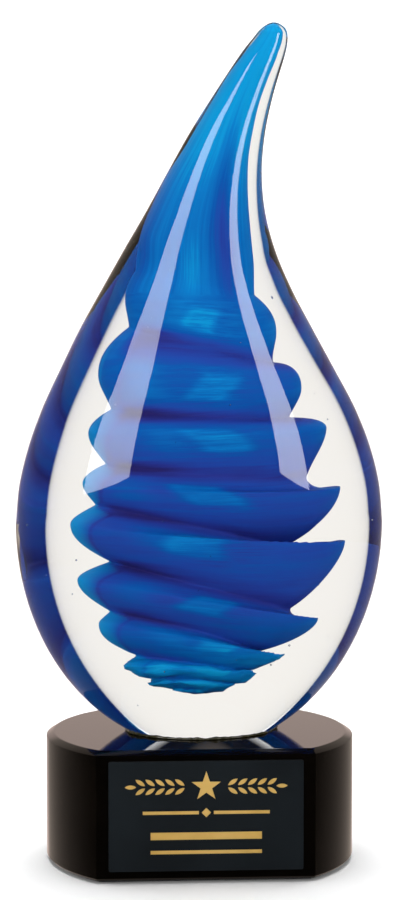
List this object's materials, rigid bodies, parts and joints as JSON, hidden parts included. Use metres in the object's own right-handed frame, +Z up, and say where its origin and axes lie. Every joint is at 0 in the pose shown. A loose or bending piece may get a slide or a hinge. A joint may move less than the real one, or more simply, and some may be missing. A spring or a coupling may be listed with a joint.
{
  "type": "art glass award",
  "caption": "Free-standing award: clear glass raindrop with a bent tip over a twisted blue core, on a black glass base with a front flat and an engraved plate.",
  "frame": {"origin": "centre of the base's round outline, on the surface the award stands on", "axes": "+Z up, -Y towards the plate and the viewer, +X to the viewer's right"},
  "size_m": [0.114, 0.0831, 0.2577],
  "materials": {
    "clear_glass": "fire-polished, clear, a few seed bubbles",
    "blue_glass": "deep cobalt turning cyan where thin, silky streaks along the twist",
    "adhesive": "cured clear adhesive that looks dark between glass and black glass",
    "black_glass": "opaque black, polished, mirror-like bevels",
    "tape": "thin double-sided adhesive film",
    "brass": "satin, shows through the cut coating",
    "black_coating": "blue-black satin lacquer",
    "felt": "short dense felt"
  },
  "bodies": {
    "root": {"crystal_casing": "clear_glass", "twisted_core": "blue_glass", "glue_joint": "adhesive", "base_block": "black_glass", "plate_tape": "tape", "plate_brass": "brass", "plate_coating": "black_coating", "felt_pad": "felt"}
  },
  "joints": []
}
